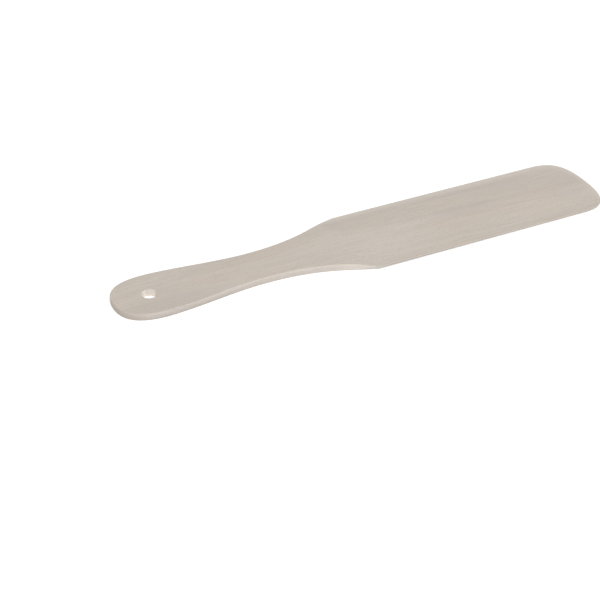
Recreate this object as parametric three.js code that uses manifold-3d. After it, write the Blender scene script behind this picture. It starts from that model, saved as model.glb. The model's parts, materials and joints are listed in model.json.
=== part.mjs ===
// Crepe spatula: a paddle sawn from one wooden board, sanded thin at the blade and drilled to hang up.
// Millimetres. The underside lies on Z = 0 and +X runs from the handle's end to the blade's tip.

import * as THREE from 'three';
import { mergeVertices } from 'three/addons/utils/BufferGeometryUtils.js';
import Module from 'manifold-3d';

const { degToRad, lerp } = THREE.MathUtils;

// Driving dimensions of the board's outline. Places along it are measured from the handle's end.
const OVERALL_LENGTH = 300;
const BOARD_THICKNESS = 4;
const HANDLE_WIDTH = 38;
const HANDLE_END_LENGTH = 24;
const NECK_WIDTH = 27;
const NECK_FROM_END = 83.4;
const SHOULDER_FROM_END = 145.6;
const BLADE_WIDTH = 57.6;
const TIP_LENGTH = 20;
const EDGE_ROUNDING = 0.5;

// Driving dimensions of the sanded blade. A soft ridge runs along its middle and both sides fall away.
const BLADE_EDGE_THICKNESS = 1;
const SHOULDER_EDGE_LIFT = 0.9;
const TIP_RIDGE_HEIGHT = 2;
const TIP_EASE_LENGTH = 8;
const RIDGE_ROUNDING = 6;
const UNDERSIDE_FLAT_WIDTH = 20;
const UNDERSIDE_FADE_LENGTH = 16;
const SWEEP_ROUNDING = 0.1;
const SANDING_BLEND = 1;

// Driving dimensions of the hanging hole.
const HOLE_DIAMETER = 8;
const HOLE_FROM_END = 20.7;
const HOLE_RIM_ROUNDING = 0.4;

// How full the outline's curves are, as shares of the stretch that each one spans.
const HANDLE_END_FULLNESS = 0.67;
const HANDLE_EASE = 0.288;
const WAIST_EASE = 0.328;
const NECK_EASE = 0.56;
const SHOULDER_EASE = 0.22;
const SHOULDER_ANGLE = degToRad(20);
const TIP_FULLNESS = 0.705;

// How steeply the sanding climbs from the shoulders to the full board, as rise over length.
const SWEEP_SLOPE = 0.12;

// The largest rounding that a thin edge can take, as a share of its thickness.
const THIN_EDGE_SHARE = 0.45;

// How finely the faces are divided.
const HALF_WIDTH_STEPS = 8;
const WAIST_STEPS = 12;
const FLARE_STEPS = 18;
const BLADE_STEPS = 14;
const ROUNDING_STEPS = 3;
const HOLE_STEPS = 40;

const wasm = await Module();
wasm.setup();

// The place along X of a point given by its distance from the handle's end.
const along = (fromEnd) => fromEnd - OVERALL_LENGTH / 2;

// The outline's far side as a row of points, from the middle of the handle's end to the middle of the tip.
function farSideOfOutline() {
  const handleHalf = HANDLE_WIDTH / 2;
  const neckHalf = NECK_WIDTH / 2;
  const bladeHalf = BLADE_WIDTH / 2;
  const handleX = along(HANDLE_END_LENGTH);
  const neckX = along(NECK_FROM_END);
  const shoulderX = along(SHOULDER_FROM_END);
  const tipStartX = along(OVERALL_LENGTH - TIP_LENGTH);
  const waistRun = neckX - handleX;
  const flareRun = shoulderX - neckX;
  const shoulderReach = SHOULDER_EASE * flareRun;
  const point = (x, y) => new THREE.Vector2(x, y);

  const handleEnd = new THREE.CubicBezierCurve(
    point(along(0), 0),
    point(along(0), HANDLE_END_FULLNESS * handleHalf),
    point(handleX - HANDLE_END_FULLNESS * HANDLE_END_LENGTH, handleHalf),
    point(handleX, handleHalf),
  );
  const waist = new THREE.CubicBezierCurve(
    point(handleX, handleHalf),
    point(handleX + HANDLE_EASE * waistRun, handleHalf),
    point(neckX - WAIST_EASE * waistRun, neckHalf),
    point(neckX, neckHalf),
  );
  const flare = new THREE.CubicBezierCurve(
    point(neckX, neckHalf),
    point(neckX + NECK_EASE * flareRun, neckHalf),
    point(
      shoulderX - shoulderReach * Math.cos(SHOULDER_ANGLE),
      bladeHalf - shoulderReach * Math.sin(SHOULDER_ANGLE),
    ),
    point(shoulderX, bladeHalf),
  );
  const bladeEdge = new THREE.LineCurve(point(shoulderX, bladeHalf), point(tipStartX, bladeHalf));
  const tip = new THREE.CubicBezierCurve(
    point(tipStartX, bladeHalf),
    point(tipStartX + TIP_FULLNESS * TIP_LENGTH, bladeHalf),
    point(along(OVERALL_LENGTH), TIP_FULLNESS * bladeHalf),
    point(along(OVERALL_LENGTH), 0),
  );
  return [
    ...handleEnd.getPoints(2 * HALF_WIDTH_STEPS),
    ...waist.getPoints(WAIST_STEPS).slice(1),
    ...flare.getPoints(FLARE_STEPS).slice(1),
    ...bladeEdge.getPoints(BLADE_STEPS).slice(1),
    ...tip.getPoints(2 * HALF_WIDTH_STEPS).slice(1),
  ];
}

// The direction into the board at each point of the far side, halfway between its neighbouring stretches.
function inwardDirections(side) {
  const mirrored = (point) => new THREE.Vector2(point.x, -point.y);
  return side.map((point, i) => {
    const before = side[i - 1] ?? mirrored(side[1]);
    const after = side[i + 1] ?? mirrored(side[i - 1]);
    const heading = point.clone().sub(before).normalize().add(after.clone().sub(point).normalize());
    return new THREE.Vector2(heading.y, -heading.x).normalize();
  });
}

// The lower of two heights, with a soft passage from one to the other where they cross.
function softLower(a, b) {
  const closeness = Math.max(0, 1 - Math.abs(a - b) / SANDING_BLEND);
  return Math.min(a, b) - (closeness ** 2 * SANDING_BLEND) / 4;
}

// How far along the blade a place lies: 0 at the shoulders, 1 at the tip.
const bladeShare = (x) => (x - along(SHOULDER_FROM_END)) / (OVERALL_LENGTH - SHOULDER_FROM_END);

// How far a place lies before the shoulders, on the handle's side of them.
const beforeShoulder = (x) => Math.max(0, along(SHOULDER_FROM_END) - x);

// How far the sanding has climbed clear of the board there.
const sweepRise = (x) => Math.hypot(SWEEP_SLOPE * beforeShoulder(x), SWEEP_ROUNDING) - SWEEP_ROUNDING;

// How high the blade's long edges lie above the surface that it rests on: raised at the shoulders only.
const edgeLift = (x) => lerp(SHOULDER_EDGE_LIFT, 0, bladeShare(x));

// The height of the upper face: flat on the handle, a soft ridge that slopes to both edges on the blade.
function upperFace(x, y) {
  const edgeTop = edgeLift(x) + BLADE_EDGE_THICKNESS;
  const ridge = lerp(BOARD_THICKNESS, TIP_RIDGE_HEIGHT, bladeShare(x));
  const tipEase = Math.max(0, x - along(OVERALL_LENGTH - TIP_EASE_LENGTH)) / TIP_EASE_LENGTH;
  const crest = (ridge - edgeTop) * (1 - tipEase ** 2);
  const fall = Math.hypot(y, RIDGE_ROUNDING) - RIDGE_ROUNDING;
  const fullFall = Math.hypot(BLADE_WIDTH / 2, RIDGE_ROUNDING) - RIDGE_ROUNDING;
  const sanded = edgeTop + crest * (1 - fall / fullFall) + sweepRise(x);
  return softLower(BOARD_THICKNESS, sanded);
}

// The height of the underside: flat, and eased upwards only towards the blade's long edges.
function underFace(x, y) {
  const flatHalf = UNDERSIDE_FLAT_WIDTH / 2;
  const easedShare = Math.max(0, Math.abs(y) - flatHalf) / (BLADE_WIDTH / 2 - flatHalf);
  const fade = Math.max(0, 1 - beforeShoulder(x) / UNDERSIDE_FADE_LENGTH);
  return edgeLift(x) * easedShare ** 2 * fade;
}

// The board without its hole: a finely divided box whose corners are pulled onto the spatula's faces.
function shapedBoard() {
  const side = farSideOfOutline();
  const inward = inwardDirections(side);
  const last = side.length - 1;
  const lengthSteps = last - 2 * HALF_WIDTH_STEPS;
  const heightSteps = 2 * ROUNDING_STEPS + 1;

  // The edge's rounding at one point of the outline, and the point where it meets the upper and under faces.
  const roundings = side.map(({ x, y }) => {
    const thickness = upperFace(x, y) - underFace(x, y);
    return Math.min(EDGE_ROUNDING, THIN_EDGE_SHARE * thickness);
  });
  const seats = side.map((point, i) => point.clone().addScaledVector(inward[i], roundings[i]));

  // A point on the rounded edge, at one point of the outline and one level from the underside to the top.
  function onEdge(i, level) {
    const isUpper = level > ROUNDING_STEPS;
    const levelFromFace = isUpper ? heightSteps - level : level;
    const turn = (levelFromFace / ROUNDING_STEPS) * (Math.PI / 2);
    const outwards = roundings[i] * Math.sin(turn);
    const fromFace = roundings[i] * (1 - Math.cos(turn));
    const { x, y } = seats[i];
    const z = isUpper ? upperFace(x, y) - fromFace : underFace(x, y) + fromFace;
    return new THREE.Vector3(x - inward[i].x * outwards, y - inward[i].y * outwards, z);
  }

  // A point inside the outline: on a straight row from the handle's end to the tip, which is then drawn
  // sideways by its share of how far the edge leaves the straight line between its own two corners.
  const endCorner = seats[HALF_WIDTH_STEPS];
  const tipCorner = seats[last - HALF_WIDTH_STEPS];
  function inside(lengthStep, widthStep) {
    const edge = seats[HALF_WIDTH_STEPS + lengthStep];
    const lengthShare = (edge.x - endCorner.x) / (tipCorner.x - endCorner.x);
    const straightRow = seats[widthStep].clone().lerp(seats[last - widthStep], lengthShare);
    const edgeOffset = edge.clone().sub(endCorner.clone().lerp(tipCorner, lengthShare));
    return straightRow.addScaledVector(edgeOffset, widthStep / HALF_WIDTH_STEPS);
  }

  const box = new THREE.BoxGeometry(1, 1, 1, lengthSteps, 2 * HALF_WIDTH_STEPS, heightSteps);
  const corners = box.attributes.position;
  for (let i = 0; i < corners.count; i += 1) {
    const lengthStep = Math.round((corners.getX(i) + 0.5) * lengthSteps);
    const signedWidthStep = Math.round(corners.getY(i) * 2 * HALF_WIDTH_STEPS);
    const widthStep = Math.abs(signedWidthStep);
    const level = Math.round((corners.getZ(i) + 0.5) * heightSteps);
    let place;
    if (widthStep === HALF_WIDTH_STEPS) {
      place = onEdge(HALF_WIDTH_STEPS + lengthStep, level);
    } else if (lengthStep === 0) {
      place = onEdge(widthStep, level);
    } else if (lengthStep === lengthSteps) {
      place = onEdge(last - widthStep, level);
    } else {
      const { x, y } = inside(lengthStep, widthStep);
      place = new THREE.Vector3(x, y, level > 0 ? upperFace(x, y) : underFace(x, y));
    }
    corners.setXYZ(i, place.x, place.y * (Math.sign(signedWidthStep) || 1), place.z);
  }
  return box;
}

// The drill that makes the hanging hole, flared at both faces so that the rims come out rounded.
function hangingHoleDrill() {
  const radius = HOLE_DIAMETER / 2;
  const mouth = radius + HOLE_RIM_ROUNDING;
  const upperRim = BOARD_THICKNESS - HOLE_RIM_ROUNDING;
  const overshoot = HOLE_DIAMETER;
  const profile = new THREE.Path();
  profile.moveTo(0, -overshoot);
  profile.lineTo(mouth, -overshoot);
  profile.absarc(mouth, HOLE_RIM_ROUNDING, HOLE_RIM_ROUNDING, -Math.PI / 2, -Math.PI, true);
  profile.absarc(mouth, upperRim, HOLE_RIM_ROUNDING, Math.PI, Math.PI / 2, true);
  profile.lineTo(mouth, BOARD_THICKNESS + overshoot);
  profile.lineTo(0, BOARD_THICKNESS + overshoot);
  const drill = new THREE.LatheGeometry(profile.getPoints(ROUNDING_STEPS), HOLE_STEPS);
  return drill.rotateX(Math.PI / 2).translate(along(HOLE_FROM_END), 0, 0);
}

// A closed geometry as a solid that can be cut.
function toSolid(geometry) {
  const bare = geometry.clone();
  bare.deleteAttribute('normal');
  bare.deleteAttribute('uv');
  const merged = mergeVertices(bare);
  const mesh = new wasm.Mesh({
    numProp: 3,
    vertProperties: new Float32Array(merged.attributes.position.array),
    triVerts: new Uint32Array(merged.index.array),
  });
  return new wasm.Manifold(mesh);
}

// A solid as a geometry that can be shown.
function toGeometry(solid) {
  const { vertProperties, triVerts } = solid.getMesh();
  const geometry = new THREE.BufferGeometry();
  geometry.setAttribute('position', new THREE.BufferAttribute(vertProperties, 3));
  geometry.setIndex(new THREE.BufferAttribute(triVerts, 1));
  geometry.computeVertexNormals();
  return geometry;
}

const drilledBoard = toSolid(shapedBoard()).subtract(toSolid(hangingHoleDrill()));
const paleWood = new THREE.MeshStandardMaterial({ color: 0xc6bdb3, roughness: 0.7, metalness: 0 });
const spatulaBody = new THREE.Mesh(toGeometry(drilledBoard), paleWood);
spatulaBody.name = 'spatula_body';

const spatula = new THREE.Group();
spatula.add(spatulaBody);

export default spatula;
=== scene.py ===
# %% [markdown]
# # A wooden crepe spatula
# The object is one thin paddle, sawn from a single pale beech board. It has a waisted handle with a
# hanging hole, two shoulders, and a long blade that is sanded thin towards its edges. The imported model
# gives the frame: every piece below is placed and measured in metres, in that same frame, with the
# board lying on the floor and its length along X.

# %% Load the frame and measure the board
import json
import math

import bmesh
import bpy
from mathutils import Color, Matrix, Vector

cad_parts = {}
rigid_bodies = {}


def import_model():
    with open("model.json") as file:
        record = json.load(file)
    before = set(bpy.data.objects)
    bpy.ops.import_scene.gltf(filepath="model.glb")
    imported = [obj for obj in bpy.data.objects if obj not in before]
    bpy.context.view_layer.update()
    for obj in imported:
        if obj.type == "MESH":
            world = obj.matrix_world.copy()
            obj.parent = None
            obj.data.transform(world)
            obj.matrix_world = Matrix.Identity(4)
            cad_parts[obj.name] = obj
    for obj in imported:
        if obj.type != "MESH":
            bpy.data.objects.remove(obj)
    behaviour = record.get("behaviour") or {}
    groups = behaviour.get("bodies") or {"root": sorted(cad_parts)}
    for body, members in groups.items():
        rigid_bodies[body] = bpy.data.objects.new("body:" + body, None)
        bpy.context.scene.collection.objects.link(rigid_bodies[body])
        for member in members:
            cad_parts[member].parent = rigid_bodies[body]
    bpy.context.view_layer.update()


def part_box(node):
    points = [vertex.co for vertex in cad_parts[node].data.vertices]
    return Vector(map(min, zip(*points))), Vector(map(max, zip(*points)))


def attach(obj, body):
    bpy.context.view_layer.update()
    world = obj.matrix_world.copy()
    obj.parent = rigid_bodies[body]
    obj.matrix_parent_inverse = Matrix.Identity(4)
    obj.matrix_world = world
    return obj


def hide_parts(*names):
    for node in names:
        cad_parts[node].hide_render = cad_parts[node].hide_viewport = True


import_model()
low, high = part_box("spatula_body")
MM = 0.001
BOARD_LENGTH = high[0] - low[0]
BLADE_WIDTH = high[1] - low[1]
BOARD_THICKNESS = high[2] - low[2]
print(f"board {BOARD_LENGTH / MM:.1f} x {BLADE_WIDTH / MM:.1f} x {BOARD_THICKNESS / MM:.1f} mm")

# %% [markdown]
# ## The camera
# The photograph was taken from the handle's side, about a metre away and looking down by a little more
# than a third of a right angle, with a long lens that keeps the blade's edges nearly parallel. A camera
# could be aimed by eye, but a board has such plain edges that any slip shows. The place and turn below
# were found by laying the part's outline over the photograph's until both met.

# %% Set the camera
CAMERA_PLACE = (-0.4176, -0.7508, 0.5323)
CAMERA_LOOKS_DOWN = math.radians(33.628)
CAMERA_HEADING = math.radians(26.738)
LENS = 108
SENSOR = 36

bpy.ops.object.camera_add(
    location=CAMERA_PLACE,
    rotation=(math.pi / 2 - CAMERA_LOOKS_DOWN, 0, -CAMERA_HEADING),
)
camera = bpy.context.object
camera.name = "photo_camera"
camera.data.lens = LENS
camera.data.sensor_width = SENSOR
bpy.context.scene.camera = camera
print(f"camera {math.dist(CAMERA_PLACE, (0, 0, 0)):.2f} m from the middle of the board")

# %% [markdown]
# ## The outline
# On the bench the outline is drawn on the board round a template and sawn along the line. A Bezier
# curve is the nearest thing in Blender: a few points with handles, each one a place that a maker would
# measure. Only the far side is drawn, from the middle of the handle's end to the middle of the tip, and
# a mirror gives the near side, so both sides are sure to match.

# %% Measure the outline's points
HANDLE_WIDTH = 38 * MM
HANDLE_END_LENGTH = 24 * MM
NECK_WIDTH = 27 * MM
NECK_FROM_END = 83.4 * MM
SHOULDER_FROM_END = 145.6 * MM
TIP_LENGTH = 20 * MM


def along(from_end):
    """The place along X of a point given by its distance from the handle's end."""
    return low[0] + from_end


handle_x = along(HANDLE_END_LENGTH)
neck_x = along(NECK_FROM_END)
shoulder_x = along(SHOULDER_FROM_END)
tip_start_x = along(BOARD_LENGTH - TIP_LENGTH)
handle_half = HANDLE_WIDTH / 2
neck_half = NECK_WIDTH / 2
blade_half = BLADE_WIDTH / 2
print(f"neck at {neck_x / MM:.1f} mm, shoulders at {shoulder_x / MM:.1f} mm along X")

# %% Bend the lines between them
HANDLE_END_FULLNESS = 0.67
HANDLE_EASE = 0.288
WAIST_EASE = 0.328
NECK_EASE = 0.56
SHOULDER_ANGLE = math.radians(20)
SHOULDER_EASE = 0.22
TIP_FULLNESS = 0.705

waist_run = neck_x - handle_x
flare_run = shoulder_x - neck_x
blade_third = (tip_start_x - shoulder_x) / 3
end_pull = HANDLE_END_FULLNESS * handle_half
tip_pull = TIP_FULLNESS * blade_half
shoulder_reach = SHOULDER_EASE * flare_run
shoulder_arrives = (
    shoulder_x - shoulder_reach * math.cos(SHOULDER_ANGLE),
    blade_half - shoulder_reach * math.sin(SHOULDER_ANGLE),
)

# Each point: the Bezier handle before it, the point itself, the Bezier handle after it.
far_side = [
    ((along(0), -end_pull), (along(0), 0), (along(0), end_pull)),
    (
        (handle_x - HANDLE_END_FULLNESS * HANDLE_END_LENGTH, handle_half),
        (handle_x, handle_half),
        (handle_x + HANDLE_EASE * waist_run, handle_half),
    ),
    (
        (neck_x - WAIST_EASE * waist_run, neck_half),
        (neck_x, neck_half),
        (neck_x + NECK_EASE * flare_run, neck_half),
    ),
    (shoulder_arrives, (shoulder_x, blade_half), (shoulder_x + blade_third, blade_half)),
    (
        (tip_start_x - blade_third, blade_half),
        (tip_start_x, blade_half),
        (tip_start_x + TIP_FULLNESS * TIP_LENGTH, blade_half),
    ),
    ((high[0], tip_pull), (high[0], 0), (high[0], -tip_pull)),
]
print(f"shoulders turn by {math.degrees(SHOULDER_ANGLE):.0f} degrees")

# %% Draw the far side as a Bezier curve
STEPS_PER_STRETCH = 24

bpy.ops.object.select_all(action="DESELECT")
bpy.ops.curve.primitive_bezier_curve_add(location=(0, 0, 0))
outline = bpy.context.object
outline.data.resolution_u = STEPS_PER_STRETCH
spline = outline.data.splines[0]
spline.bezier_points.add(len(far_side) - len(spline.bezier_points))
for point, (before, place, after) in zip(spline.bezier_points, far_side):
    point.handle_left_type = point.handle_right_type = "FREE"
    point.handle_left = (*before, 0)
    point.co = (*place, 0)
    point.handle_right = (*after, 0)
print(f"far side drawn with {len(spline.bezier_points)} points")

# %% Turn the curve into edges and mirror them
SAME_PLACE = 0.01 * MM

bpy.ops.object.convert(target="MESH")
spatula = bpy.context.object
spatula.name = "spatula"


def apply_modifier(piece, kind, **settings):
    """Adds a modifier to the piece and applies it at once."""
    modifier = piece.modifiers.new(kind.lower(), kind)
    for name, value in settings.items():
        setattr(modifier, name, value)
    bpy.context.view_layer.objects.active = piece
    bpy.ops.object.modifier_apply(modifier=modifier.name)


apply_modifier(spatula, "MIRROR", use_axis=(False, True, False), merge_threshold=SAME_PLACE)
print(f"closed outline of {len(spatula.data.edges)} edges")

# %% [markdown]
# ## Thickness and rounded edges
# Filling the outline with one face and extruding it upwards makes the board. Its rims are then the only
# edges that turn sharply, so they can be selected by their angle and bevelled in one go, the way
# sandpaper takes off a saw's sharp edge.

# %% Extrude the board and round its rims
EDGE_ROUNDING = 0.5 * MM
ROUNDING_STEPS = 4
ROUND_PROFILE = 0.5
SHARP_ANGLE = math.radians(60)

bpy.ops.object.mode_set(mode="EDIT")
bpy.ops.mesh.select_all(action="SELECT")
bpy.ops.mesh.edge_face_add()
bpy.ops.mesh.extrude_region_move(TRANSFORM_OT_translate={"value": (0, 0, BOARD_THICKNESS)})
bpy.ops.mesh.select_all(action="SELECT")
bpy.ops.mesh.normals_make_consistent(inside=False)

bpy.ops.mesh.select_mode(type="EDGE")
bpy.ops.mesh.select_all(action="DESELECT")
bpy.ops.mesh.edges_select_sharp(sharpness=SHARP_ANGLE)
rim_edges = sum(edge.select for edge in bmesh.from_edit_mesh(spatula.data).edges)
bpy.ops.mesh.bevel(
    offset=EDGE_ROUNDING, segments=ROUNDING_STEPS, profile=ROUND_PROFILE, affect="EDGES"
)
print(f"rounded {rim_edges} rim edges")

# %% [markdown]
# ## The board's faces
# The upper face and the underside are still one flat face each, with nothing inside to shape. Both are
# taken out again, which leaves two open rims, and Grid Fill lays rows of four-sided faces across each
# rim, starting from its active point. Rounds of Smooth Vertices then even out the rows.

# %% Take out both large faces
FOUR_SIDED = 4

bpy.ops.mesh.select_mode(type="FACE")
bpy.ops.mesh.select_all(action="DESELECT")
bpy.ops.mesh.select_face_by_sides(number=FOUR_SIDED, type="GREATER")
large_faces = sum(face.select for face in bmesh.from_edit_mesh(spatula.data).faces)
bpy.ops.mesh.delete(type="ONLY_FACE")
print(f"took out {large_faces} faces")

# %% Fill both rims with a grid
ROWS_ACROSS = 24
SMOOTHING_STEP = 0.5
SMOOTHING_ROUNDS = 80

bpy.ops.mesh.select_mode(type="VERT")
for height in (0, BOARD_THICKNESS):
    bpy.ops.mesh.select_all(action="DESELECT")
    mesh = bmesh.from_edit_mesh(spatula.data)
    open_corners = [corner for corner in mesh.verts if corner.is_boundary]
    rim = [corner for corner in open_corners if abs(corner.co.z - height) < EDGE_ROUNDING]
    for corner in rim:
        corner.select_set(True)
    mesh.select_flush(True)
    mesh.select_history.clear()
    mesh.select_history.add(min(rim, key=lambda corner: corner.co.x))
    bpy.ops.mesh.fill_grid(span=ROWS_ACROSS, offset=-ROWS_ACROSS // 2)
    bpy.ops.mesh.select_less()
    bpy.ops.mesh.vertices_smooth(factor=SMOOTHING_STEP, repeat=SMOOTHING_ROUNDS)
bpy.ops.mesh.select_all(action="SELECT")
bpy.ops.mesh.normals_make_consistent(inside=False)
bpy.ops.object.mode_set(mode="OBJECT")
print(f"{len(spatula.data.polygons)} faces")

# %% [markdown]
# ## The sanded blade
# The blade is thinned so that it slides under a crepe. A soft ridge stays along its middle, both sides
# fall away to an edge about a millimetre thick, and the whole blade thins towards the tip. At the
# shoulders the sanding runs out in a short climb to the full board. No single operator makes such a
# face, so its height is written as a short formula, and each corner of the mesh is lowered onto it.

# %% Measure along the blade
SHOULDER_EDGE_LIFT = 0.9 * MM


def mix(a, b, share):
    """The value that lies the given share of the way from a to b."""
    return a + (b - a) * share


def blade_share(x):
    """How far along the blade a place lies: 0 at the shoulders, 1 at the tip."""
    return (x - shoulder_x) / (high[0] - shoulder_x)


def before_shoulder(x):
    """How far a place lies before the shoulders, on the handle's side of them."""
    return max(0, shoulder_x - x)


def edge_lift(x):
    """How high the blade's long edges lie above the table: most at the shoulders, nothing at the tip."""
    return mix(SHOULDER_EDGE_LIFT, 0, blade_share(x))


print(f"long edges lifted by {edge_lift(shoulder_x) / MM:.1f} mm at the shoulders")

# %% Describe the sanded faces
BLADE_EDGE_THICKNESS = 1 * MM
TIP_RIDGE_HEIGHT = 2 * MM
TIP_EASE_LENGTH = 8 * MM
RIDGE_ROUNDING = 6 * MM
UNDERSIDE_FLAT_WIDTH = 20 * MM
UNDERSIDE_FADE_LENGTH = 16 * MM
SWEEP_SLOPE = 0.12
SWEEP_ROUNDING = 0.1 * MM
SANDING_BLEND = 1 * MM


def upper_face(x, y):
    """The height of the upper face: flat on the handle, a soft ridge on the blade."""
    edge_top = edge_lift(x) + BLADE_EDGE_THICKNESS
    ridge = mix(BOARD_THICKNESS, TIP_RIDGE_HEIGHT, blade_share(x))
    tip_ease = max(0, x - (high[0] - TIP_EASE_LENGTH)) / TIP_EASE_LENGTH
    crest = (ridge - edge_top) * (1 - tip_ease**2)
    fall = math.hypot(y, RIDGE_ROUNDING) - RIDGE_ROUNDING
    full_fall = math.hypot(blade_half, RIDGE_ROUNDING) - RIDGE_ROUNDING
    climb = math.hypot(SWEEP_SLOPE * before_shoulder(x), SWEEP_ROUNDING) - SWEEP_ROUNDING
    sanded = edge_top + crest * (1 - fall / full_fall) + climb
    # The lower of the board and the sanded face counts, with the corner between them rounded off.
    closeness = max(0, 1 - abs(BOARD_THICKNESS - sanded) / SANDING_BLEND)
    return min(BOARD_THICKNESS, sanded) - closeness**2 * SANDING_BLEND / 4


def under_face(x, y):
    """The height of the underside: flat, and eased upwards only towards the blade's long edges."""
    flat_half = UNDERSIDE_FLAT_WIDTH / 2
    eased_share = max(0, abs(y) - flat_half) / (blade_half - flat_half)
    fade = max(0, 1 - before_shoulder(x) / UNDERSIDE_FADE_LENGTH)
    return edge_lift(x) * eased_share**2 * fade


for name, x in (("shoulders", shoulder_x), ("tip", high[0] - TIP_EASE_LENGTH)):
    middle, edge = [(upper_face(x, y) - under_face(x, y)) / MM for y in (0, blade_half)]
    print(f"at the {name}: {middle:.2f} mm thick at the middle, {edge:.2f} mm at the edge")

# %% Lower the board onto them
THIN_EDGE_SHARE = 0.45


def sanded_height(x, y, z):
    """Where a corner of the plain board ends up: rims stay rounded, as far as a thin edge has room."""
    bottom, top = under_face(x, y), upper_face(x, y)
    rounding = min(EDGE_ROUNDING, THIN_EDGE_SHARE * (top - bottom))
    if z < EDGE_ROUNDING:
        return bottom + rounding * z / EDGE_ROUNDING
    if z > BOARD_THICKNESS - EDGE_ROUNDING:
        return top - rounding * (BOARD_THICKNESS - z) / EDGE_ROUNDING
    wall_share = (z - EDGE_ROUNDING) / (BOARD_THICKNESS - 2 * EDGE_ROUNDING)
    return mix(bottom + rounding, top - rounding, wall_share)


for corner in spatula.data.vertices:
    corner.co.z = sanded_height(*corner.co)
print(f"sanded {len(spatula.data.vertices)} corners")

# %% [markdown]
# ## The hanging hole
# The hole is drilled and its rims are eased with a twist of sandpaper. The drill is modelled as a real
# cutter: a circle extruded upwards ring by ring, wide at the mouths and narrow between them, so that
# one Boolean cuts the hole and both rounded rims together.

# %% Plan the drill's rings
HOLE_DIAMETER = 8 * MM
HOLE_FROM_END = 20.7 * MM
HOLE_RIM_ROUNDING = 0.4 * MM
RIM_STEPS = 4
DRILL_OVERSHOOT = 2 * MM

hole_centre = Vector((along(HOLE_FROM_END), 0, 0))
mouth_radius = HOLE_DIAMETER / 2 + HOLE_RIM_ROUNDING
turns = [math.pi / 2 * step / RIM_STEPS for step in range(RIM_STEPS + 1)]
lower_rim = [
    (mouth_radius - HOLE_RIM_ROUNDING * math.sin(turn), HOLE_RIM_ROUNDING * (1 - math.cos(turn)))
    for turn in turns
]
upper_rim = [(radius, BOARD_THICKNESS - height) for radius, height in reversed(lower_rim)]
rings = [
    (mouth_radius, -DRILL_OVERSHOOT),
    *lower_rim,
    *upper_rim,
    (mouth_radius, BOARD_THICKNESS + DRILL_OVERSHOOT),
]
print(f"drill of {len(rings)} rings, {HOLE_DIAMETER / MM:.1f} mm across")

# %% Model the drill
HOLE_SIDES = 64

first_radius, first_height = rings[0]
bpy.ops.object.select_all(action="DESELECT")
bpy.ops.mesh.primitive_circle_add(
    vertices=HOLE_SIDES,
    radius=first_radius,
    fill_type="NGON",
    location=hole_centre + Vector((0, 0, first_height)),
)
drill = bpy.context.object
bpy.ops.object.mode_set(mode="EDIT")
for (radius, height), (next_radius, next_height) in zip(rings, rings[1:]):
    rise = (0, 0, next_height - height)
    spread = next_radius / radius
    bpy.ops.mesh.extrude_region_move(TRANSFORM_OT_translate={"value": rise})
    bpy.ops.transform.resize(
        value=(spread, spread, 1), center_override=hole_centre + Vector((0, 0, next_height))
    )
bpy.ops.mesh.select_all(action="SELECT")
bpy.ops.mesh.normals_make_consistent(inside=False)
bpy.ops.object.mode_set(mode="OBJECT")
print(f"drill of {len(drill.data.polygons)} faces")

# %% Drill the board
apply_modifier(spatula, "BOOLEAN", object=drill, operation="DIFFERENCE", solver="EXACT")
bpy.data.objects.remove(drill)

# Where the drill's own corners met the grid's, on the middle line, two corners now share one place.
corners_before = len(spatula.data.vertices)
bpy.ops.object.mode_set(mode="EDIT")
bpy.ops.mesh.select_all(action="SELECT")
bpy.ops.mesh.remove_doubles(threshold=SAME_PLACE)
bpy.ops.object.mode_set(mode="OBJECT")
merged = corners_before - len(spatula.data.vertices)
print(f"{len(spatula.data.polygons)} faces with the hole, {merged} doubled corners merged")

# %% [markdown]
# ## A smooth, closed surface
# Sanded wood shows no facets, so the faces are shaded smooth wherever they meet at less than 40
# degrees. Weighted normals keep the large flat faces flat right up to their rounded rims. A board that
# is to be measured, weighed or printed also has to be closed, so its open edges are counted: there must
# be none.

# %% Shade it smooth and test that it is closed
SMOOTH_ANGLE = math.radians(40)

bpy.ops.object.select_all(action="DESELECT")
spatula.select_set(True)
bpy.context.view_layer.objects.active = spatula
bpy.ops.object.shade_smooth_by_angle(angle=SMOOTH_ANGLE)
apply_modifier(spatula, "WEIGHTED_NORMAL", mode="FACE_AREA", keep_sharp=True)

mesh = bmesh.new()
mesh.from_mesh(spatula.data)
open_edges = sum(not edge.is_manifold for edge in mesh.edges)
triangles = sum(len(face.verts) - 2 for face in mesh.faces)
print(f"{open_edges} open edges, {triangles} triangles, {mesh.calc_volume() / MM**3:.0f} mm3 of wood")
mesh.free()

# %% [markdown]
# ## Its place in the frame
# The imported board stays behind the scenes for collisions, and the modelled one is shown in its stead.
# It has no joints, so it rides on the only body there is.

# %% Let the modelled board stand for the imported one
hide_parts("spatula_body")
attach(spatula, "root")
print(f"{spatula.name} stands for spatula_body")

# %% [markdown]
# ## The wood
# Beech is a pale, plain wood. Close up it has growth rings, fine fibres along the board, and thousands
# of short brown flecks where its rays are cut through. An image could only show that on one face. A
# solid texture is mixed in space instead, as wood grows, so that the faces, the walls and the ends of
# the board all show the same grain from their own side. It is built from a few small helpers.

# %% Start the material
wood = bpy.data.materials.new("bare_beech")
wood.use_nodes = True
shader = wood.node_tree.nodes["Principled BSDF"]


def add(kind, label, inputs=None, **settings):
    """Adds a node to the wood, with its own settings and the values of its inputs."""
    node = wood.node_tree.nodes.new(kind)
    node.name = node.label = label
    for name, value in settings.items():
        setattr(node, name, value)
    for name, value in (inputs or {}).items():
        node.inputs[name].default_value = value
    return node


def join(source, target):
    """Links an output to an input."""
    wood.node_tree.links.new(source, target)


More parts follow.
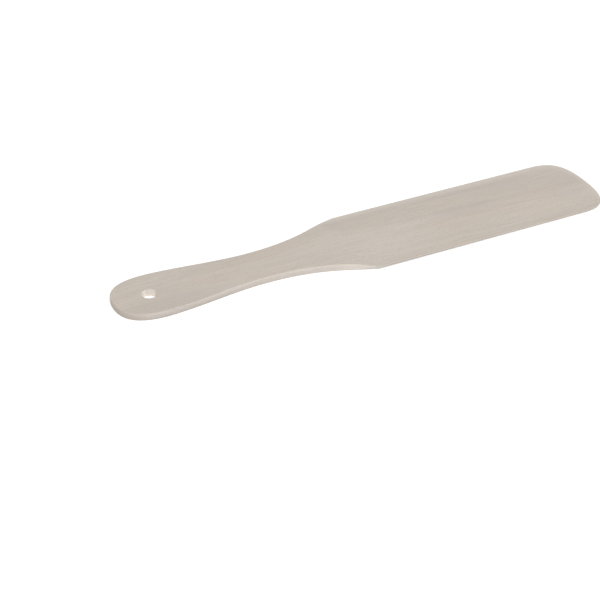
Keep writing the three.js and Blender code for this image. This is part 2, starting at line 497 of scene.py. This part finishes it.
def stretched(source, label, scale, place=(0, 0, 0)):
    """The coordinates counted from a place and scaled, for a pattern that follows the grain."""
    moved = add("ShaderNodeMapping", label, vector_type="POINT")
    moved.inputs["Scale"].default_value = scale
    moved.inputs["Location"].default_value = [-p * k for p, k in zip(place, scale)]
    join(source, moved.inputs["Vector"])
    return moved.outputs["Vector"]


board_place = add("ShaderNodeTexCoord", "place on the board")
in_mm = stretched(board_place.outputs["Object"], "in millimetres", (1 / MM, 1 / MM, 1 / MM))
print("the wood is measured in millimetres from the middle of the board's underside")

# %% [markdown]
# ## Grain that wanders
# No tree grows straight. A slow noise, stretched along the board, pushes the patterns that follow the
# grain a few millimetres sideways, so that rings, fibres and flecks bend together instead of each going
# its own way.

# %% Let the grain wander
GRAIN_WANDER = 7
DRIFT_PER_MM = (0.007, 0.02, 0.02)
NOISE_MIDDLE = (0.5, 0.5, 0.5)


def noise(source, label, detail, roughness):
    """A cloudy pattern, one bump for each unit of its coordinates."""
    node = add("ShaderNodeTexNoise", label, {"Scale": 1, "Detail": detail, "Roughness": roughness})
    join(source, node.inputs["Vector"])
    return node


drift_at = stretched(in_mm, "slow along the grain", DRIFT_PER_MM)
drift = noise(drift_at, "drift", detail=2, roughness=0.5)
centred = add("ShaderNodeVectorMath", "drift about nothing", {1: NOISE_MIDDLE}, operation="SUBTRACT")
join(drift.outputs["Color"], centred.inputs[0])
sideways = (0, GRAIN_WANDER, GRAIN_WANDER)
wander = add("ShaderNodeVectorMath", "grain", {1: sideways}, operation="MULTIPLY_ADD")
join(centred.outputs["Vector"], wander.inputs[0])
join(in_mm, wander.inputs[2])
grain = wander.outputs["Vector"]
print(f"grain wanders by up to {GRAIN_WANDER / 2} mm to either side")

# %% [markdown]
# ## Growth rings
# A board is a slice through a bundle of tubes, one for each year, and the bundle's middle, the pith,
# lies outside this board. A Wave texture in rings gives the tubes, and its saw profile gives each year
# a pale start and a darker end. Rings that are cut flat come out wide and rings that are cut steeply
# come out narrow, with no further work.

# %% Grow the rings
RING_WIDTH = 2.6
PITH = (0, 11, -46)
RINGS_DRAWN_OUT = (0.02, 1, 1)
# At a scale of one, a Wave texture puts this many rings into each millimetre.
WAVES_AT_SCALE_ONE = 20 / (2 * math.pi)
RING_WOBBLE = {"Distortion": 3, "Detail": 2, "Detail Scale": 1.5}
LATE_WOOD_RANGE = (0.35, 1)
LATE_WOOD_STRENGTH = 0.3


def remap(source, label, start, end, at_start=0, at_end=1):
    """A value that changes softly from at_start to at_end while its source goes from start to end."""
    ends = {"From Min": start, "From Max": end, "To Min": at_start, "To Max": at_end}
    node = add("ShaderNodeMapRange", label, ends, interpolation_type="SMOOTHSTEP")
    join(source, node.inputs["Value"])
    return node.outputs["Result"]


ring_wave = add(
    "ShaderNodeTexWave",
    "rings",
    {"Scale": 1 / (RING_WIDTH * WAVES_AT_SCALE_ONE), **RING_WOBBLE},
    wave_type="RINGS",
    rings_direction="X",
    wave_profile="SAW",
)
join(stretched(grain, "round the pith", RINGS_DRAWN_OUT, PITH), ring_wave.inputs["Vector"])
late_wood = remap(ring_wave.outputs["Fac"], "late wood", *LATE_WOOD_RANGE, at_end=LATE_WOOD_STRENGTH)
print(f"rings {RING_WIDTH} mm wide round a pith {-PITH[2]} mm below the board")

# %% [markdown]
# ## Fibres and streaks
# Fibres are what gives sanded wood its fine lengthwise lines. Noise that is squeezed across the board
# and drawn out along it makes them: once finely for the fibres, once broadly for streaks of darker sap.

# %% Lay the fibres
FIBRES_PER_MM = (0.06, 2.4, 2.4)
FIBRE_RANGE = (0.38, 0.68)
FIBRE_STRENGTH = 0.32
STREAKS_PER_MM = (0.008, 0.55, 0.55)
STREAK_RANGE = (0.35, 0.68)
STREAK_STRENGTH = 0.3

fibres_at = stretched(grain, "fine fibres' place", FIBRES_PER_MM)
fine_fibres = noise(fibres_at, "fine fibres", detail=3, roughness=0.6)
fibres = remap(fine_fibres.outputs["Fac"], "fibres", *FIBRE_RANGE, at_end=FIBRE_STRENGTH)
streaks_at = stretched(grain, "broad fibres' place", STREAKS_PER_MM)
broad_fibres = noise(streaks_at, "broad fibres", detail=3, roughness=0.55)
streaks = remap(broad_fibres.outputs["Fac"], "streaks", *STREAK_RANGE, at_end=STREAK_STRENGTH)
print(f"fibres {1 / FIBRES_PER_MM[1]:.1f} mm wide, streaks {1 / STREAKS_PER_MM[1]:.1f} mm wide")

# %% [markdown]
# ## Ray flecks and pores
# The flecks are beech's mark: small spindles, a millimetre or two long, where a ray is cut open. Cells
# of a Voronoi texture, drawn out along the grain, give one spindle each, and each cell's own colour
# decides whether its ray shows. Pores are finer still, pricks and scratches that a stretched noise
# leaves.

# %% Scatter the ray flecks and prick the pores
RAYS_PER_MM = (0.3, 1.5, 1.5)
# A fleck is full up to the first radius and gone at the second, both measured in ray cells.
FLECK_RADII = (0.1, 0.26)
FLECK_CHOICE = (0.35, 0.6)
FLECK_STRENGTH = 0.5
PORES_PER_MM = (0.5, 7, 7)
PORE_RANGE = (0.6, 0.75)


def overlap(first, second, label):
    """Where two masks are both strong."""
    node = add("ShaderNodeMath", label, operation="MULTIPLY")
    join(first, node.inputs[0])
    join(second, node.inputs[1])
    return node.outputs["Value"]


ray_cells = add("ShaderNodeTexVoronoi", "rays", {"Scale": 1})
join(stretched(grain, "rays' place", RAYS_PER_MM), ray_cells.inputs["Vector"])
fleck_shape = remap(ray_cells.outputs["Distance"], "fleck shape", *FLECK_RADII, at_start=1, at_end=0)
fleck_choice = remap(
    ray_cells.outputs["Color"], "which rays are cut", *FLECK_CHOICE, at_end=FLECK_STRENGTH
)
flecks = overlap(fleck_shape, fleck_choice, "flecks")
pore_noise = noise(stretched(grain, "pores' place", PORES_PER_MM), "pores", detail=1, roughness=0.5)
pores = remap(pore_noise.outputs["Fac"], "open pores", *PORE_RANGE)
fleck_length = 2 * FLECK_RADII[1] / RAYS_PER_MM[0]
print(f"flecks up to {fleck_length:.1f} mm long, pores {1 / PORES_PER_MM[1]:.1f} mm wide")

# %% [markdown]
# ## End grain and painted light in the hole
# Where a cut runs across the fibres, at both ends of the board, it shows their open ends, which drink
# in light and look darker. The wall of the hole is painted with light: it is drawn paler to stand in for
# light that reaches into it, more where it faces along the board, and most where it faces the tip. A
# face's own normal tells which is which: small in Z means a wall, large in X means a cut across the
# fibres.

# %% See where each face lies and looks
facing = add("ShaderNodeNewGeometry", "which way a face looks")
sides = add("ShaderNodeSeparateXYZ", "facing by axis")
join(facing.outputs["Normal"], sides.inputs["Vector"])
by_axis = add("ShaderNodeSeparateXYZ", "place by axis")
join(in_mm, by_axis.inputs["Vector"])
along_board, across_board, above_floor = (by_axis.outputs[axis] for axis in "XYZ")


def unsigned(source, label):
    """A value without its sign."""
    node = add("ShaderNodeMath", label, operation="ABSOLUTE")
    join(source, node.inputs[0])
    return node.outputs["Value"]


level = unsigned(sides.outputs["Z"], "how level a face lies")
lengthwise = unsigned(sides.outputs["X"], "how far a face looks along the board")
print("level is 1 on a face that lies flat and 0 on a wall")

# %% Find the drilled wall and paint light into it
# Levels run from 0 on a wall to 1 on a flat face, and the halo round the hole is in millimetres.
HOLE_HALO = 6
HALO_CORE = 0.85
RIM_LEVELS = (0.85, 0.99)
HOLE_LIGHT_LENGTHWISE = (0.3, 0.9)
HOLE_LIGHT_ALONG = 0.38
HOLE_LIGHT_ACROSS = 0.6
HOLE_LIGHT_SIDE_FACING = (0, 0.4)
HOLE_LIGHT_ON_SIDE = 0.5


def soft_spot(label, place, radii, core=0.0, strength=1.0):
    """A mask that is strong round a place on the board and fades out over the given radii."""
    size = add("ShaderNodeVectorMath", label + " distance", operation="LENGTH")
    join(stretched(in_mm, label + " place", [1 / r for r in radii], place), size.inputs[0])
    return remap(size.outputs["Value"], label, core, 1, at_start=strength, at_end=0)


hole_radii = (HOLE_HALO, HOLE_HALO, BOARD_LENGTH / MM)
hole_spot = soft_spot("round the hole", hole_centre / MM, hole_radii, core=HALO_CORE)
# Painted light: the hole's wall and eased rims are drawn paler, more where they face along the board and
# most where they face the tip.
eased_wall = remap(level, "wall and eased rims", *RIM_LEVELS, at_start=1, at_end=0)
hole_light_by_axis = remap(
    lengthwise, "where the drill cut across", *HOLE_LIGHT_LENGTHWISE, at_start=HOLE_LIGHT_ALONG, at_end=HOLE_LIGHT_ACROSS
)
hole_light_facing_x = remap(sides.outputs["X"], "where the drill tore fibres", *HOLE_LIGHT_SIDE_FACING, at_end=HOLE_LIGHT_ON_SIDE)
hole_light_share = add("ShaderNodeMath", "how lightened the wall looks", operation="ADD")
join(hole_light_by_axis, hole_light_share.inputs[0])
join(hole_light_facing_x, hole_light_share.inputs[1])
hole_light_by_facing = overlap(eased_wall, hole_light_share.outputs["Value"], "lightened wall")
painted_hole_light = overlap(hole_light_by_facing, hole_spot, "drilled wall")
print(f"the drilled wall lies within {HOLE_HALO} mm of the hole's axis")

# %% Find the end grain
# Distances from the middle of the board and places across it are in millimetres.
END_DISTANCES = (118, 135)
OPEN_FIBRE_PLACES = (-10, 8)
LEAST_OPEN = 0.35
END_GRAIN_RANGE = (0.1, 0.75)
END_GRAIN_STRENGTH = 0.42

from_middle = unsigned(along_board, "how far from the middle")
near_the_ends = remap(from_middle, "near the ends", *END_DISTANCES)
outside_hole = remap(hole_spot, "outside the hole", 0, 1, at_start=1, at_end=0)
outer_ends = overlap(near_the_ends, outside_hole, "outer ends")
most_open = remap(
    across_board, "where the fibres end most openly", *OPEN_FIBRE_PLACES, at_start=1, at_end=LEAST_OPEN
)
across_fibres = remap(lengthwise, "across the fibres", *END_GRAIN_RANGE, at_end=END_GRAIN_STRENGTH)
open_fibres = overlap(across_fibres, most_open, "open fibres")
end_grain = overlap(open_fibres, outer_ends, "end grain")
print(f"the end grain starts {END_DISTANCES[0]} mm from the middle of the board")

# %% [markdown]
# ## Painted light and shade along the edges
# The walls keep a saw's greyer finish. On the handle their upper arris, where wall and face meet, is
# painted paler as a highlight, and lower down the walls are painted darker as shade. Just before the
# shoulders the walls are drawn paler. A band along the blade's far long edge and the tip is painted
# paler as light, while its near long edge and the blade's walls are painted darker as shade. Height,
# place and facing say where each of these belongs, so a few masks find it.

# %% Saw the walls, paint a highlight on the arris and shade low down
# Heights above the floor and places along the board are in millimetres.
UPRIGHT_LEVELS = (0.15, 0.6)
SAWN_STRENGTH = 0.4
HIGHLIGHT_HEIGHTS = (1.8, 3.9)
HIGHLIGHT_STRENGTH = 0.42
HIGHLIGHT_STOPS = (-20, -5)
HIGHLIGHT_FADES_IN = (-125, -95)
HIGHLIGHT_SHARE_AT_END = 0.25
SHADE_HEIGHTS = (0.3, 3)
SHADE_STRENGTH = 0.34
SHADE_FADES = (-120, -25)

upright = remap(level, "upright faces", *UPRIGHT_LEVELS, at_start=1, at_end=0)
outer_wall = overlap(upright, outside_hole, "outer wall")
sawn = remap(outer_wall, "sawn walls", 0, 1, at_end=SAWN_STRENGTH)

# Painted highlight: on the handle the upper arris is drawn paler, fading out before the blade and towards
# the handle's end.
before_blade = remap(along_board, "before the blade", *HIGHLIGHT_STOPS, at_start=1, at_end=0)
highlight_fade = remap(along_board, "rubbed by the end_fade", *HIGHLIGHT_FADES_IN, at_start=HIGHLIGHT_SHARE_AT_END)
highlight_reach = overlap(before_blade, highlight_fade, "how far the highlight reaches")
high_up = remap(above_floor, "high on the wall", *HIGHLIGHT_HEIGHTS, at_end=HIGHLIGHT_STRENGTH)
upper_arris = overlap(high_up, highlight_reach, "upper arris")
highlit = overlap(outer_wall, upper_arris, "highlit")

# Painted shade: on the handle the walls are drawn darker towards the bottom, fading out towards the
# blade.
shade_on_handle = remap(along_board, "in the hand", *SHADE_FADES, at_start=1, at_end=0)
low_down = remap(above_floor, "low on the wall", *SHADE_HEIGHTS, at_start=SHADE_STRENGTH, at_end=0)
lower_wall = overlap(low_down, shade_on_handle, "lower wall")
shadowed = overlap(outer_wall, lower_wall, "shadowed")
print(f"arris rubbed from {HIGHLIGHT_HEIGHTS[0]} mm up, shading from {SHADE_HEIGHTS[1]} mm down")

# %% Draw the walls before the shoulders paler
PALEST_WALL_AT = (-12, 0, 2)
PALE_WALL_RADII = (20, 600, 60)
PALE_WALL_STRENGTH = 0.2

# The walls are drawn paler just before the shoulders, where the flare runs into the blade.
flare_wall_spot = soft_spot("out of the hand's reach", PALEST_WALL_AT, PALE_WALL_RADII, strength=PALE_WALL_STRENGTH)
paler_flare_walls = overlap(outer_wall, flare_wall_spot, "lightened shoulders")
print(f"the walls are palest {-PALEST_WALL_AT[0]} mm before the middle of the board")

# %% Paint light on the blade's far edge and tip, and shade on its near edge
CORNER_CURVE = 2.5
EDGE_LIGHT_RANGE = (0.4, 0.85)
EDGE_LIGHT_STRENGTH = 0.54
NEAR_SHADE_RANGE = (0.5, 0.95)
NEAR_SHADE_STRENGTH = 0.08
WALL_LEVELS = (0.45, 0.9)
BLADE_STARTS = (-12, 4)
EDGE_SHADE_STRENGTH = 0.2


def towards(source, label, start, end):
    """How far from start to end a place lies, curved so that two of these sum to a rounded corner."""
    share = add("ShaderNodeMapRange", label, {"From Min": start, "From Max": end})
    join(source, share.inputs["Value"])
    curved = add("ShaderNodeMath", label + ", curved", {1: CORNER_CURVE}, operation="POWER")
    join(share.outputs["Result"], curved.inputs[0])
    return curved.outputs["Value"]


far_edge = towards(across_board, "towards the far edge", 0, blade_half / MM)
tip = towards(along_board, "towards the tip", tip_start_x / MM, high[0] / MM)
far_edge_and_tip = add("ShaderNodeMath", "towards the far edge and the tip", operation="ADD")
join(far_edge, far_edge_and_tip.inputs[0])
join(tip, far_edge_and_tip.inputs[1])
# Painted light: a band along the far long edge and the tip is drawn paler, a highlight along the far edge
# and light on the tip's falling face.
lit = remap(far_edge_and_tip.outputs["Value"], "lit", *EDGE_LIGHT_RANGE, at_end=EDGE_LIGHT_STRENGTH)

# Painted shade: a band along the near long edge is drawn darker, and so are the blade's walls.
near_edge = towards(across_board, "towards the near edge", 0, -blade_half / MM)
near_face_shade = remap(near_edge, "darkened face", *NEAR_SHADE_RANGE, at_end=NEAR_SHADE_STRENGTH)
walls = remap(level, "walls", *WALL_LEVELS, at_start=1, at_end=0)
on_blade = remap(along_board, "on the blade", *BLADE_STARTS, at_end=EDGE_SHADE_STRENGTH)
blade_edge_shade = overlap(walls, on_blade, "darkened edge")
print("the blade's far edge and tip scraped paler, its near edge darkened")

# %% [markdown]
# ## Broad changes of tone
# The board isn't one tone from end to end. It has darker and warmer patches like clouds, a darker heart
# along the middle of the blade, paler parts before it and at the tip, and a dim grip where the hand
# holds it. The tip's very end is painted paler as light, where its face falls away. Slow noises scatter
# the patches, and soft spots place the rest where the photograph shows it.

# %% Scatter the patches
PATCHES_PER_MM = (0.011, 0.035, 0.035)
PATCH_RANGE = (0.3, 0.7)
PATCH_STRENGTH = 0.3
WARM_PATCHES_PER_MM = (0.02, 0.07, 0.07)
WARM_PATCHES_FROM = (40, 0, 0)
WARM_RANGE = (0.45, 0.75)
WARM_STRENGTH = 0.4

patches_at = stretched(in_mm, "patches' place", PATCHES_PER_MM)
patch_noise = noise(patches_at, "patches", detail=1, roughness=0.5)
patches = remap(patch_noise.outputs["Fac"], "patches of tone", *PATCH_RANGE, at_end=PATCH_STRENGTH)
warm_at = stretched(in_mm, "warm patches' place", WARM_PATCHES_PER_MM, WARM_PATCHES_FROM)
warm_noise = noise(warm_at, "warmth", detail=1, roughness=0.5)
warm_patches = remap(warm_noise.outputs["Fac"], "warm patches", *WARM_RANGE, at_end=WARM_STRENGTH)
print(f"patches about {1 / PATCHES_PER_MM[0]:.0f} x {1 / PATCHES_PER_MM[1]:.0f} mm")

# %% Shade the heart, the tip and the grip
# Places and radii are in millimetres, and each spot goes right through the board.
dark_heart = soft_spot("dark heart", place=(66, 2, 2), radii=(30, 9, 60), strength=0.4)
pale_flare = soft_spot("pale flare", place=(2, -8, 2), radii=(62, 34, 60), strength=0.4)
pale_tip = soft_spot("pale tip", place=(112, -15, 2), radii=(45, 17, 60), strength=0.3)
# Painted light: the tip's very end is drawn paler, where its face falls away towards the tip.
painted_tip_end_light = soft_spot("pale end", place=(148, -10, 2), radii=(11, 16, 60), strength=0.38)
dim_grip = soft_spot("dim grip", place=(-127, -13, 2), radii=(52, 17, 60), strength=0.72)
print("a dark heart along the blade, paler parts before it and at the tip, a dim grip")

# %% [markdown]
# ## Stacking the colours
# Each mask now draws the wood a little towards its own tint, the way washes of stain are laid over each
# other: first how the wood grew and its broad tones, then the wear and the painted light and shade, and
# the finest marks last. All tints lie close together, since beech is a quiet wood.

# %% Mix the tints
def colour(red, green, blue):
    """A colour as a paint program gives it, 0 to 255, turned into the light values that Blender mixes."""
    screen = Color((red / 255, green / 255, blue / 255))
    return (*screen.from_srgb_to_scene_linear(), 1)


EARLY_WOOD = colour(204, 196, 186)
LATE_WOOD = colour(189, 179, 168)
STREAK = colour(189, 178, 167)
FIBRE = colour(178, 167, 155)
DARK_PATCH = colour(188, 179, 170)
PALE_TONE_AND_LIGHT = colour(213, 205, 195)
WARM_PATCH = colour(202, 187, 175)
SAWN_WALL = colour(194, 188, 184)
PALE_WALL_AND_LIGHT = colour(246, 237, 228)
END_GRAIN = colour(168, 154, 141)
PAINTED_SHADE = colour(148, 139, 129)
FLECK = colour(150, 128, 110)
PORE = colour(140, 122, 107)
print(f"early wood {[round(part, 2) for part in EARLY_WOOD[:3]]} in light values")

# %% Stack the colours
PORE_STRENGTH = 0.25


def tinted(base, tint, mask, label):
    """The base colour, drawn towards the tint as far as the mask says."""
    node = add("ShaderNodeMix", label, {7: tint}, data_type="RGBA")
    join(mask, node.inputs["Factor"])
    if isinstance(base, tuple):
        node.inputs[6].default_value = base
    else:
        join(base, node.inputs[6])
    return node.outputs[2]


open_pores = remap(pores, "how dark pores look", 0, 1, at_end=PORE_STRENGTH)
surface = EARLY_WOOD
# Several tints below are painted light and shade: the tip's pale end, the pale band on the far edge and
# tip, the pale arris, the dark lower walls, the dark near edge and blade walls, and the pale wall of the
# hole.
for tint, mask, label in (
    (LATE_WOOD, late_wood, "with late wood"),
    (STREAK, streaks, "with streaks"),
    (DARK_PATCH, patches, "with patches"),
    (WARM_PATCH, warm_patches, "with warm patches"),
    (DARK_PATCH, dark_heart, "with a dark heart"),
    (PALE_TONE_AND_LIGHT, pale_flare, "with a pale flare"),
    (PALE_TONE_AND_LIGHT, pale_tip, "with a pale tip"),
    (PALE_TONE_AND_LIGHT, painted_tip_end_light, "with a pale end"),
    (DARK_PATCH, dim_grip, "with a dim grip"),
    (FIBRE, fibres, "with fibres"),
    (PALE_TONE_AND_LIGHT, lit, "with a scraped edge"),
    (SAWN_WALL, sawn, "with sawn walls"),
    (PALE_TONE_AND_LIGHT, highlit, "with a rubbed arris"),
    (PAINTED_SHADE, shadowed, "with dirty walls"),
    (PALE_WALL_AND_LIGHT, paler_flare_walls, "with lightened shoulders"),
    (PAINTED_SHADE, near_face_shade, "with a darkened face"),
    (PAINTED_SHADE, blade_edge_shade, "with a darkened edge"),
    (END_GRAIN, end_grain, "with end grain"),
    (PALE_WALL_AND_LIGHT, painted_hole_light, "with a drilled wall"),
    (FLECK, flecks, "with ray flecks"),
    (PORE, open_pores, "with pores"),
):
    surface = tinted(surface, tint, mask, label)
join(surface, shader.inputs["Base Color"])
print(f"wood of {len(wood.node_tree.nodes)} nodes")

# %% [markdown]
# ## A matte finish
# The wood is bare, with neither oil nor varnish, so it is rough and shines only a little, least of all
# along its raised fibres. These stand about a hundredth of a millimetre proud, and the pores are a few
# times as deep. Geometry that fine would cost millions of faces, so a bump is the right tool for it.

# %% Sand it matte
FIBRE_HEIGHTS = (0.3, 0.7)
SMOOTHEST = 0.58
ROUGHEST = 0.74
WOOD_IOR = 1.45
RELIEF = 0.03 * MM
RELIEF_STRENGTH = 0.6

fibre_height = fine_fibres.outputs["Fac"]
roughness = remap(
    fibre_height, "roughness along the fibres", *FIBRE_HEIGHTS, at_start=SMOOTHEST, at_end=ROUGHEST
)
join(roughness, shader.inputs["Roughness"])
shader.inputs["IOR"].default_value = WOOD_IOR
relief = add("ShaderNodeMath", "fibres less pores", operation="SUBTRACT")
join(fibre_height, relief.inputs[0])
join(pores, relief.inputs[1])
bump = add("ShaderNodeBump", "raised grain", {"Strength": RELIEF_STRENGTH, "Distance": RELIEF})
join(relief.outputs["Value"], bump.inputs["Height"])
join(bump.outputs["Normal"], shader.inputs["Normal"])

spatula.data.materials.clear()
spatula.data.materials.append(wood)
print(f"pores up to {RELIEF / MM:.2f} mm deep, roughness {SMOOTHEST} to {ROUGHEST}")

# %% [markdown]
# ## The floor
# The photograph's ground is plain white. A large plane of white paper is enough, since it only has to
# catch light and send some of it up against the walls. Lighting it until it turns white would spoil the
# wood, so the paper glows a little instead, only where it is seen, straight or in a reflection.

# %% Lay the floor
FLOOR_SIZE = 8
FLOOR_WHITE = 0.9
PAPER_ROUGHNESS = 0.9
FLOOR_GLOW = 0.22
WHITE = (1, 1, 1, 1)

bpy.ops.object.select_all(action="DESELECT")
bpy.ops.mesh.primitive_plane_add(size=FLOOR_SIZE, location=(0, 0, 0))
floor = bpy.context.object
floor.name = "floor"

paper = bpy.data.materials.new("white_paper")
paper.use_nodes = True
paper_shader = paper.node_tree.nodes["Principled BSDF"]
paper_shader.inputs["Base Color"].default_value = (FLOOR_WHITE, FLOOR_WHITE, FLOOR_WHITE, 1)
paper_shader.inputs["Roughness"].default_value = PAPER_ROUGHNESS
paper_shader.inputs["Emission Color"].default_value = WHITE
floor.data.materials.append(paper)
print(f"floor {FLOOR_SIZE} m wide")

# %% Let it glow where it is seen
def where_seen(tree, unseen, seen):
    """A value that changes where the camera sees a surface, straight or in a reflection or glass."""
    rays = tree.nodes.new("ShaderNodeLightPath")
    straight_or_reflected = tree.nodes.new("ShaderNodeMath")
    straight_or_reflected.operation = "MAXIMUM"
    tree.links.new(rays.outputs["Is Camera Ray"], straight_or_reflected.inputs[0])
    tree.links.new(rays.outputs["Is Glossy Ray"], straight_or_reflected.inputs[1])
    any_sight = tree.nodes.new("ShaderNodeMath")
    any_sight.operation = "MAXIMUM"
    tree.links.new(straight_or_reflected.outputs["Value"], any_sight.inputs[0])
    tree.links.new(rays.outputs["Is Transmission Ray"], any_sight.inputs[1])
    value = tree.nodes.new("ShaderNodeMapRange")
    value.inputs["To Min"].default_value = unseen
    value.inputs["To Max"].default_value = seen
    tree.links.new(any_sight.outputs["Value"], value.inputs["Value"])
    return value.outputs["Result"]


glow = where_seen(paper.node_tree, unseen=0, seen=FLOOR_GLOW)
paper.node_tree.links.new(glow, paper_shader.inputs["Emission Strength"])
print(f"the floor glows at {FLOOR_GLOW} where it is seen")

# %% [markdown]
# ## The light
# The photograph has one large soft lamp in front and to the left of the board, low enough to light the
# walls about as well as the top, and much light from all round. An area lamp and a plain white world do
# the same. Together they light a level face so that its colour renders about as it is written.

# %% Hang the lamp
LAMP_AZIMUTH = math.radians(20)
LAMP_ELEVATION = math.radians(50)
LAMP_DISTANCE = 6
LAMP_SIZE = 3
LAMP_POWER = 276

reach = LAMP_DISTANCE * math.cos(LAMP_ELEVATION)
lamp_place = Vector((
    -reach * math.sin(LAMP_AZIMUTH),
    -reach * math.cos(LAMP_AZIMUTH),
    LAMP_DISTANCE * math.sin(LAMP_ELEVATION),
))
bpy.ops.object.light_add(type="AREA", location=lamp_place)
lamp = bpy.context.object
lamp.name = "soft_lamp"
lamp.rotation_euler = lamp_place.to_track_quat("Z", "Y").to_euler()
lamp.data.size = LAMP_SIZE
lamp.data.energy = LAMP_POWER
print(f"lamp {lamp_place.z:.2f} m above the floor")

# %% Surround it with white
AMBIENT = 0.42

world = bpy.data.worlds.new("studio")
bpy.context.scene.world = world
world.use_nodes = True
sky = world.node_tree.nodes["Background"]
sky.inputs["Color"].default_value = WHITE
sky_strength = where_seen(world.node_tree, unseen=AMBIENT, seen=1)
world.node_tree.links.new(sky_strength, sky.inputs["Strength"])
bpy.context.scene.view_settings.view_transform = "Standard"
print(f"white all round at {AMBIENT}")
